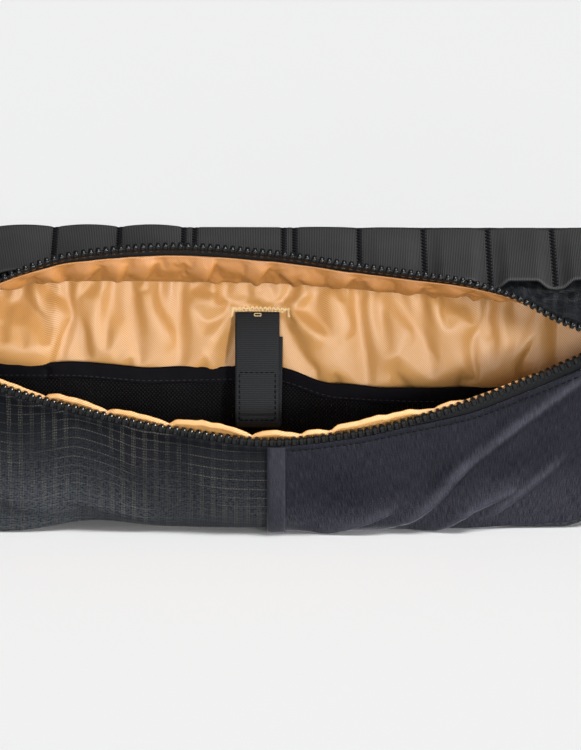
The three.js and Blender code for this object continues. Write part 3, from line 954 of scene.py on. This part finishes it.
def liningFrontShape(u, v):
    station = liningStation(u)
    up, top, _ = lowerSection(station)
    rise = 0.8
    wallV = mix(0.05, 0.95, clamp(v / rise))
    w = wallV * mouth["panelTall"]
    slack = np.maximum(0, 1.2 * ripple(station, w, 34, 41)) * hump(wallV)
    wall = lowerPoint(station, wallV, -under - slack)
    opened = ease(section("open", station), 0.05, 0.3)
    puff = puffAt(station) * (1 + 0.12 * ripple(station, 0, 9, 43))
    crest = mix(-1.0, mouth["chainTall"] + puff, opened)
    k = clamp((v - rise) / (1 - rise))
    inward = np.stack([up[:, 1], -up[:, 0]], -1)
    crease = 0.45 * opened * creases(station, k * 8, 6, 0.5, 44)
    out = mix(1.6 + liningLook["roll"] * opened, 1.5, k) + crease
    high = mix(-4, crest, hump(clamp(k * 0.72)) ** 0.8)
    roll = top + up * high[:, None] + inward * out[:, None]
    over = place(station, *roll.T)
    share = ease(v, rise - 0.10, rise + 0.02)[:, None]
    return mix(wall, over, share)


lipPleats = [  # fromX, fromT, toX, toT, rise, left, right, with t the distance down the lip
    (-104, 17, -96, 2, 1.4, 3, 6),
    (-84, 17, -78, 3, 1.6, 2, 6),
    (-66, 16, -70, 3, 1.4, 3, 5),
    (-52, 16, -55, 2, 1.4, 3, 5),
    (-38, 17, -44, 3, 1.6, 2.5, 6),
    (-12, 17, -16, 2, 1.8, 2, 7),
    (12, 17, 6, 2, 1.8, 2, 7),
    (26, 4, 20, 14, 1.4, 3, 5),
    (34, 3, 28, 13, 1.2, 3, 4),
    (49, 17, 43, 3, 1.6, 2.5, 6),
    (63, 3, 58, 14, 1.4, 3, 5),
    (80, 16, 74, 3, 1.4, 3, 6),
    (98, 15, 92, 3, 1.2, 3, 5),
    (116, 14, 110, 3, 1.0, 3, 5),
]


def liningLipShape(u, v):
    station = liningStation(u)
    low, high, tall = 18.4, 0.8, 17.6
    t = mix(low, high, clamp(v / 0.9))
    held = hump(clamp((t - high) / tall)) ** 0.5
    opened = ease(section("flip", station), 20, 80)
    pleat = foldField(lipPleats, station, t) * 2.0 + 0.2 * ripple(station, t, 14, 51)
    lip = lipPoint(station, t, under + 0.2 + pleat * held * opened)
    lip[:, 2] -= 0.9 * np.maximum(0, ripple(station, 0, 10, 53)) * ease(t, 8, 0.8) * opened
    edgeY = 3 - linedY
    seam = underTop(station, edgeY, shell / 2 + under + 1.4)
    return mix(lip, seam, ease(v, 0.86, 1.0)[:, None])


def liningLipHang(u, v):
    station = liningStation(u)
    held = np.maximum(1 - ease(v, 0.0, 0.12), ease(v, 0.66, 0.86))
    held = np.maximum(held, 1 - ease(np.minimum(u, 1 - u), 0, 0.02))
    halfway = np.full_like(u, 8.0)
    side = lipPoint(station, halfway, 1.0) - lipPoint(station, halfway, 0.0)
    room = mix(0.3, 3, ease(section("flip", station), 40, 90))
    return {"held": held, "room": room, "side": side, **liningLook["lipHang"]}


def liningTopShape(u, v):
    station = liningStation(u)
    y = mix(-linedY, linedY, v)
    sag = np.maximum(0, 0.8 * ripple(station, y, 28, 61)) * hump(v)
    return underTop(station, y, shell / 2 + under + 0.2 + sag)


def liningGussetShape(u, v):
    y = mix(-linedY, linedY, v)
    topGap = (shell + body["lining"] + gap) * body["slope"] + 3 * gap
    slack = np.maximum(0, 0.7 * ripple(u * shellLook["gussetLong"], y, 26, 71)) * hump(v)
    return gussetPoint(u * 3, y, body["liningInset"] - 0.2 + slack, topGap)


liningPieces = {
    "lining_back": ((260, 90), liningBackShape, (0.40, 0.125), liningBackHang),
    "lining_gusset": ((240, 20), liningGussetShape, (0.57, 0.048), None),
    "lining_top": ((220, 24), liningTopShape, (0.40, 0.05), None),
    "lining_front": ((300, 80), liningFrontShape, (0.40, 0.085), None),
    "lining_lip": ((420, 24), liningLipShape, (0.42, 0.018), liningLipHang),
}
for node, (counts, shape, flat, hang) in liningPieces.items():
    # the lip lining takes the darker copy, painted shade
    cloth = shadedLipLining if node == "lining_lip" else lining
    piece = clothSheet(node + "_cloth", counts, shape, liningLook["cloth"], cloth, "lining", hang)
print("lining made")

# Inner pocket of mesh with its bound edge
meshLook = {"rear": -168, "front": 142, "split": 9, "foot": 5, "bulge": 11, "pinch": 2, "cloth": 0.4,
            "bindTall": 7.2, "bindThick": 1.8, "tuckX": -87}


def meshFace(station, rise, thick):
    # it bulges in two lobes, on either side of the split
    rearward = station < meshLook["split"]
    low = np.where(rearward, meshLook["rear"], meshLook["split"])
    high = np.where(rearward, meshLook["split"], meshLook["front"])
    toEnd = np.minimum(station - meshLook["rear"], meshLook["front"] - station)
    bulge = meshLook["bulge"] * hump((station - low) / (high - low))
    bulge = bulge + meshLook["pinch"] * ease(toEnd, 0, 60)
    return linedY - thick / 2 - bulge * np.sin(math.pi / 2 * rise)


def meshShape(u, v):
    station = mix(meshLook["rear"], meshLook["front"], u)
    z = mix(meshLook["foot"], meshTop(station) - meshLook["bindTall"] + 1.5, v)
    wave = 0.8 * ripple(station, z, 30, 81) * hump(v)
    return place(station, meshFace(station, v, meshLook["cloth"]) - wave, z)


def bindShape(u, v):
    # a tape folded over the edge: up the back, over and down the face
    station = mix(meshLook["rear"], meshLook["front"], u)
    edge = meshTop(station) + 0.35 * ripple(station, 0, 34, 82)
    half, leg = 0.62, 0.42
    turn = clamp((v - leg) / (1 - 2 * leg)) * math.pi
    drop = np.where(v < leg, 1 - v / leg, clamp((v - 1 + leg) / leg)) * (meshLook["bindTall"] - half)
    tuck = bell(station - meshLook["tuckX"], 1.1) * ease(drop, 0.5, 2.5) * 1.5
    wave = 0.25 * ripple(station, drop, 9, 83)
    y = meshFace(station, 1.0, meshLook["bindThick"]) + np.cos(turn) * half
    z = edge - half + np.sin(turn) * half - drop
    return place(station, y + np.where(v > 0.5, tuck - wave * 0.5, 0), z)


meshPiece = clothSheet("mesh_pocket_cloth", (200, 40), meshShape, meshLook["cloth"], meshCloth, "mesh")
bindPiece = clothSheet("mesh_binding_tape", (240, 26), bindShape, 0.5, binding, "binding")


def bindLine(station):
    z = meshTop(station) - meshLook["bindTall"] + 1.4
    return place(station, meshFace(station, 1.0, meshLook["bindThick"]) - 1.0, z)


bindRow = stitchRow(bindLine, meshLook["rear"] + 3, meshLook["front"] - 3, 2.6, 0.7)
sew("binding_stitching", [bindRow], 0.45, greyThread, "binding")
print("mesh pocket made")

# Key strap, hanging from a slot in the lining
strapLine = [  # shift along the bag, y, z
    (0, 20.3, 88.9), (0, 19.0, 86.9), (0, 15.5, 80), (0, 11.6, 68), (0, 9.4, 54), (0, 8.8, 44),
    (0.2, 9.2, 39.8), (0.5, 10.4, 38.4), (0.8, 11.6, 39.6), (1, 11.4, 44), (1.2, 12.4, 54),
    (1.4, 15, 68), (1.5, 18.6, 78),
]


def strapCrown(u):
    return strapLook["crown"] * (1 - (2 * u - 1) ** 2)


def strapShape(u, v):
    shift, y, z = throughPoints(strapLine, v).T
    across = (u - 0.5) * strapLook["wide"]
    return np.stack([strapLook["x"] + shift + across, y - strapCrown(u) * (v < 0.5), z], -1)


strapPiece = clothSheet("key_strap_tape", (24, 180), strapShape, strapLook["thick"], strapTape, "strap")


def strapFace(x, z):
    # the front of the strap, down to its fold
    _, depths, heights = np.array(strapLine[5::-1]).T
    u = (x - strapLook["x"]) / strapLook["wide"] + 0.5
    y = np.interp(z, heights, depths) - strapCrown(u) - strapLook["thick"] / 2 - 0.12
    return np.stack(np.broadcast_arrays(x, y, z), -1)


def strapRows():
    half = strapLook["wide"] / 2 - strapLook["boxIn"]
    box = (strapLook["x"] - half, strapLook["x"] + half), (strapLook["boxLow"], strapLook["boxHigh"])
    return boxRows(strapFace, box, (2.3, 2.3))


sew("strap_stitching", strapRows(), 0.8, blackThread, "strap")


def liningFace(x, z):
    u = (x - rear - body["liningInset"]) / (front - rear - 2 * body["liningInset"])
    return liningBackShape(u, z / liningTop) - np.array([0, threadLift, 0])


def slotRows():
    (left, right), (low, high) = strapLook["slotX"], strapLook["slotZ"]
    rows = [zigzag(lambda x, s: liningFace(x, high + 0.95 * s), left, right, 0.95)]
    lower = lambda x: liningFace(x, np.full_like(x, high - 1.25))
    rows.append(stitchRow(lower, left + 2.4, right - 2.4, 1.4, 1.1))
    for x in (left, right):
        rows.append(zigzag(lambda z, s, x=x: liningFace(x + 0.85 * s, z), low - 0.3, high + 0.8, 0.5))
    return rows


sew("slot_bartack", slotRows(), 1.1, tanThread, "lining")


sew("strap_tack", boxRows(strapFace, strapLook["tack"], (1.0, 0.6), 1.1), 0.5, tanThread, "strap")
print("key strap made")

# Webbing on the top, tacked down in loops
webLook = {"back": 21.5, "front": -25, "thick": 1.4, "pitch": 29, "pair": 5, "halfFlat": 20, "loops": 6,
           "tail": 6, "tackWide": 1.35, "tackPitch": 1.25, "tackDent": 0.7}
firstLoop = webLook["halfFlat"] + webLook["pair"]
tackOut = [webLook["halfFlat"]] + [firstLoop + n * webLook["pitch"] for n in range(webLook["loops"] + 1)]
tacks = np.array([-x for x in reversed(tackOut)] + tackOut)


def loopRise(x, y):
    n = np.clip(np.searchsorted(tacks, x), 1, len(tacks) - 1)
    span = tacks[n] - tacks[n - 1]
    k = clamp((x - tacks[n - 1]) / span)
    inside = (x > tacks[0]) & (x < tacks[-1]) & (np.abs(span - webLook["pitch"]) < 0.01)
    far = mix(1.15, 0.3, ease(x, -45, 40))
    near = mix(3, 3.6, ease(x, -40, 120))
    share = (webLook["back"] - y) / (webLook["back"] - webLook["front"])
    flatTop = ease(k, 0.08, 0.3) * ease(1 - k, 0.08, 0.3)
    arc = mix(4 * k * (1 - k), flatTop, ease(x, 30, 100))
    return np.where(inside, mix(far, near, share) * arc, 0)


def webPoint(x, y, lift):
    dent = sum(bell(x - tack, 1.5) for tack in tacks) * webLook["tackDent"]
    high = gap + webLook["thick"] / 2 + loopRise(x, y) - dent * 0.5 + lift
    return np.stack([x, y, topAt(x, y) + high * body["slope"]], -1)


def webShape(u, v):
    x = mix(tacks[0] - webLook["tail"], tacks[-1] + webLook["tail"], u)
    return webPoint(x, mix(webLook["front"], webLook["back"], v), 0)


webPiece = clothSheet("top_webbing_tape", (830, 24), webShape, webLook["thick"] - 0.3, webbing, "webbing")


def tackRows():
    rows, low, high = [], webLook["front"] + 0.8, webLook["back"] - 0.8
    wide, lift = webLook["tackWide"], webLook["thick"] / 2 - 0.05
    for tack in tacks:
        path = lambda y, side, x=tack: webPoint(x + wide * side, y, lift)
        rows.append(zigzag(path, low, high, webLook["tackPitch"]))
    return rows


sew("webbing_bartacks", tackRows(), 0.9, blackThread, "webbing")
print("webbing made")

# Zip: two tapes, their teeth, the slider and the tab at the front end
zipLook = {"tape": 0.7, "pitch": 3.3, "tooth": (2.15, 2.6, 3.2), "head": (1.75, 1.1, 2.1), "seat": 1.7,
           "margin": 0.7, "endIn": 0.4, "tapeIn": 0.45, "sliderX": -168, "tabX": 181, "tab": (10, 16)}
sliderBlocks = [  # size, offset from the slider's place, roundness: body, bridge and pull
    ((12, 1.6, 7.4), (0, -0.9, 0), 0.7),
    ((5.6, 1.6, 2.2), (-0.6, -2.1, 0), 0.7),
    ((4.6, 1.1, 20), (0, -1.9, -13), 0.45),
]


def upperTape(u, v):
    station = mix(rear + zipLook["endIn"], front - zipLook["endIn"], 1 - u)
    margin = zipLook["margin"] * ease(section("flip", station), 0, 60)
    return lipPoint(station, mix(mouth["lipCloth"] - 7, mouth["lipTall"] - margin, v), zipLook["tapeIn"])


def lowerTape(u, v):
    station = mix(rear + zipLook["endIn"], front - zipLook["endIn"], u)
    up, top, _ = lowerSection(station)
    inward = np.stack([up[:, 1], -up[:, 0]], -1)
    sunk = 0.75 * ease(v, 0.75, 0.5)
    margin = zipLook["margin"] * ease(section("open", station), 0, 0.25)
    spot = top + up * mix(-6, mouth["chainTall"] - margin, v)[:, None] + inward * sunk[:, None]
    return place(station, *spot.T)


def soften(part, edges, offset, segments):
    bmesh.ops.bevel(part, geom=edges, offset=offset, affect="EDGES", segments=segments, profile=0.5,
                    material=-1)


def toothTemplate():
    wide, tall, thick = zipLook["tooth"]
    tooth = bmesh.new()
    bmesh.ops.create_cube(tooth, size=1)
    bmesh.ops.scale(tooth, vec=(wide, tall, thick), verts=tooth.verts)
    tip = max(tooth.faces, key=lambda face: face.calc_center_median().y)
    head = bmesh.ops.extrude_discrete_faces(tooth, faces=[tip])["faces"][0]
    bmesh.ops.translate(tooth, vec=(0, zipLook["head"][1], 0), verts=head.verts)
    centre = head.calc_center_median()
    bmesh.ops.scale(tooth, vec=(zipLook["head"][0] / wide, 1, zipLook["head"][2] / thick),
                    space=Matrix.Translation(-centre), verts=head.verts)
    soften(tooth, tooth.edges[:], 0.36, 1)
    return meshFrom("tooth", tooth)


def toothFrames(spine, start):
    # evenly spaced along the true route
    fine = np.linspace(rear + body["liningInset"] + 1, front - body["liningInset"] - 1, 1600)
    run = runLength(spine(fine)[0])
    station = np.interp(np.arange(start, run[-1], zipLook["pitch"]), run, fine)
    point, out = spine(station)
    along = normed(spine(station + 0.3)[0] - spine(station - 0.3)[0])
    out = normed(out - along * (out * along).sum(1)[:, None])
    return framesAt(along, out, np.cross(along, out), point)


def upperSpine(station):
    t = mouth["lipTall"] - zipLook["seat"]
    point, past = (lipPoint(station, down, 0.2) for down in (t, t + 1))
    return point, past - point


def lowerSpine(station):
    up, top, _ = lowerSection(station)
    low = top + up * (mouth["chainTall"] - zipLook["seat"])
    point, past = (place(station, *spot.T) for spot in (low, low + up))
    return point, past - point


toothMesh = toothTemplate()
zipHalves = {
    "zip_upper": (upperTape, upperSpine, 0.0),
    "zip_lower": (lowerTape, lowerSpine, zipLook["pitch"] / 2),
}
for node, (tapeShape, spine, start) in zipHalves.items():
    strip = clothSheet(node + "_tape", (300, 8), tapeShape, zipLook["tape"], tape, "zip")
    teeth = settle(scatter(node + "_teeth", toothMesh, toothFrames(spine, start), plastic), "zip")
    if node == "zip_lower":
        teeth.data.shade_flat()


def zipHeight(x):
    return float(section("edge", np.array([x]))[0]) - mouth["lipTall"] - gap / 2


def roundBlock(part, size, centre, soft):
    made = bmesh.ops.create_cube(part, size=1)["verts"]
    bmesh.ops.scale(part, vec=size, verts=made)
    bmesh.ops.translate(part, vec=centre, verts=made)
    soften(part, list({edge for vert in made for edge in vert.link_edges}), soft, 3)


def buildSlider(name):
    spot = zipLook["sliderX"], foldY - 1.3 - gap, zipHeight(zipLook["sliderX"])
    part = bmesh.new()
    for size, offset, soft in sliderBlocks:
        roundBlock(part, size, [a + b for a, b in zip(spot, offset)], soft)
    bmesh.ops.recalc_face_normals(part, faces=part.faces)
    bmesh.ops.scale(part, vec=(mm, mm, mm), verts=part.verts)
    return addObject(name, meshFrom(name, part), metal)


settle(buildSlider("zip_slider_body"), "slider", "zip_slider")


def tabShape(u, v):
    wide, tall = zipLook["tab"]
    station = zipLook["tabX"] + mix(-wide / 2, wide / 2, u)
    z = zipHeight(zipLook["tabX"]) + mix(-tall / 2, tall / 2, v)
    return place(station, foldY - 3.4 - 0.5 * hump(v), z)


tabPiece = clothSheet("zip_stop_tab_cloth", (16, 24), tabShape, 1.1, ripstop, "ripstop")
print("zip made")

# Plain floor, soft light and the camera
stage = {"floor": 12.0, "world": 0.16, "aim": (0.023, -0.027, 0.070), "away": 2.6, "tilt": 12, "lens": 279.9,
         "sensor": 36, "clip": (0.05, 60)}
suns = {  # degrees to the right of the camera, degrees above the floor, power, spread in degrees
    "key": (30, 6, 1.9, 10),
    "side": (74, 5, 2.4, 16),
    "fill": (-6, 4, 1.8, 20),
    "top": (26, 55, 2.5, 24),
}


def makeFloor():
    sheet = bmesh.new()
    bmesh.ops.create_grid(sheet, x_segments=8, y_segments=8, size=stage["floor"])
    wire = newMaterial("pale floor", Specular_IOR_Level=0.1, Roughness=0.9)
    colour = objectNoise(wire, 900).tint(rgb(0.875, 0.88, 0.885), rgb(0.91, 0.91, 0.91))
    addObject("floor", meshFrom("floor", sheet), dress(wire, colour))


def makeSun(name, turn, rise, power, spread):
    lamp = bpy.data.lights.new(name, "SUN")
    lamp.energy, lamp.angle = power, math.radians(spread)
    made = linked(name, lamp)
    turn, rise = math.radians(turn), math.radians(rise)
    made.location = (math.sin(turn) * math.cos(rise), -math.cos(turn) * math.cos(rise), math.sin(rise))
    made.rotation_euler = (-made.location).to_track_quat("-Z", "Y").to_euler()


def makeCamera():
    lens = bpy.data.cameras.new("camera")
    lens.lens, lens.sensor_width = stage["lens"], stage["sensor"]
    lens.clip_start, lens.clip_end = stage["clip"]
    made = linked("camera", lens)
    tilt, aim = math.radians(stage["tilt"]), Vector(stage["aim"])
    made.location = aim + Vector((0, -math.cos(tilt), math.sin(tilt))) * stage["away"]
    made.rotation_euler = (aim - made.location).to_track_quat("-Z", "Y").to_euler()
    bpy.context.scene.camera = made


makeFloor()
for name, values in suns.items():
    makeSun(name, *values)
makeCamera()
world = bpy.data.worlds.new("studio")
world.use_nodes = True
background = world.node_tree.nodes["Background"].inputs
background["Color"].default_value = rgb(1, 1, 1)
background["Strength"].default_value = stage["world"]
bpy.context.scene.world = world
bpy.context.scene.view_settings.view_transform = "Standard"
print("stage made")
